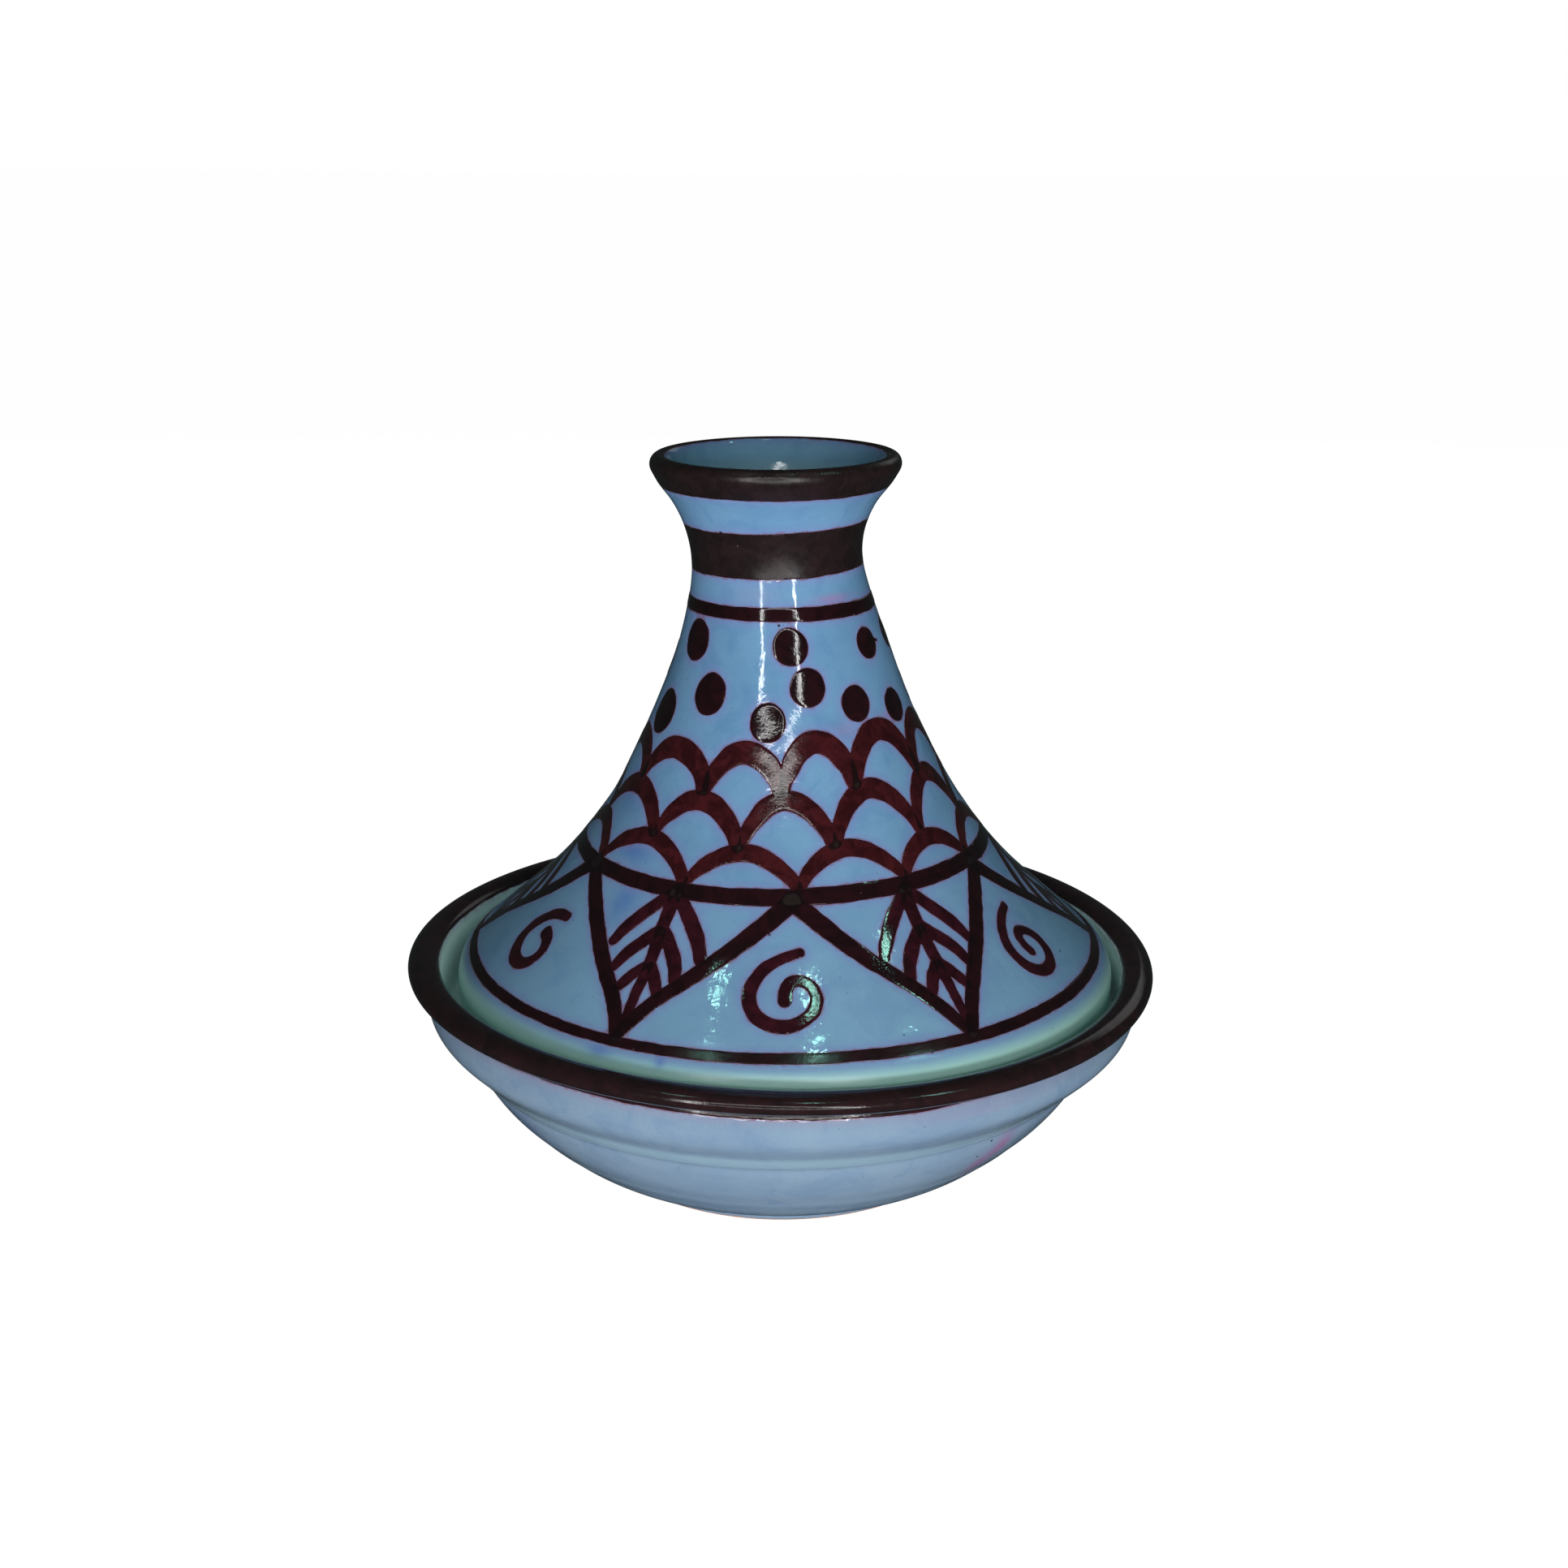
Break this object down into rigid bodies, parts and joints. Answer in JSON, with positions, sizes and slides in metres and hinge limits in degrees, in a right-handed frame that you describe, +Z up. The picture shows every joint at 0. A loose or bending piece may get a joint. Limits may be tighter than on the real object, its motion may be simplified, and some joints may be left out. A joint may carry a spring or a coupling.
{
  "type": "tagine pot",
  "caption": "Round dish with a rolled lip and flat foot, and a tall concave conical lid that ends in a flared hollow cup and lifts straight off.",
  "frame": {"origin": "centre of the foot ring's flat underside", "axes": "+Z up along the turning axis, through the dish and the lid's cup; +X to the right and -Y towards the viewer"},
  "size_m": [0.2, 0.2, 0.1904],
  "materials": {
    "dish_glaze": "gloss",
    "lid_glaze": "gloss"
  },
  "bodies": {
    "dish": {"base_dish": "dish_glaze"},
    "lid": {"conical_lid": "lid_glaze"}
  },
  "joints": [
    {"name": "lid_lift", "type": "slide", "parent": "dish", "child": "lid", "axis": [0, 0, 1], "range_m": [0, 0.09]}
  ]
}
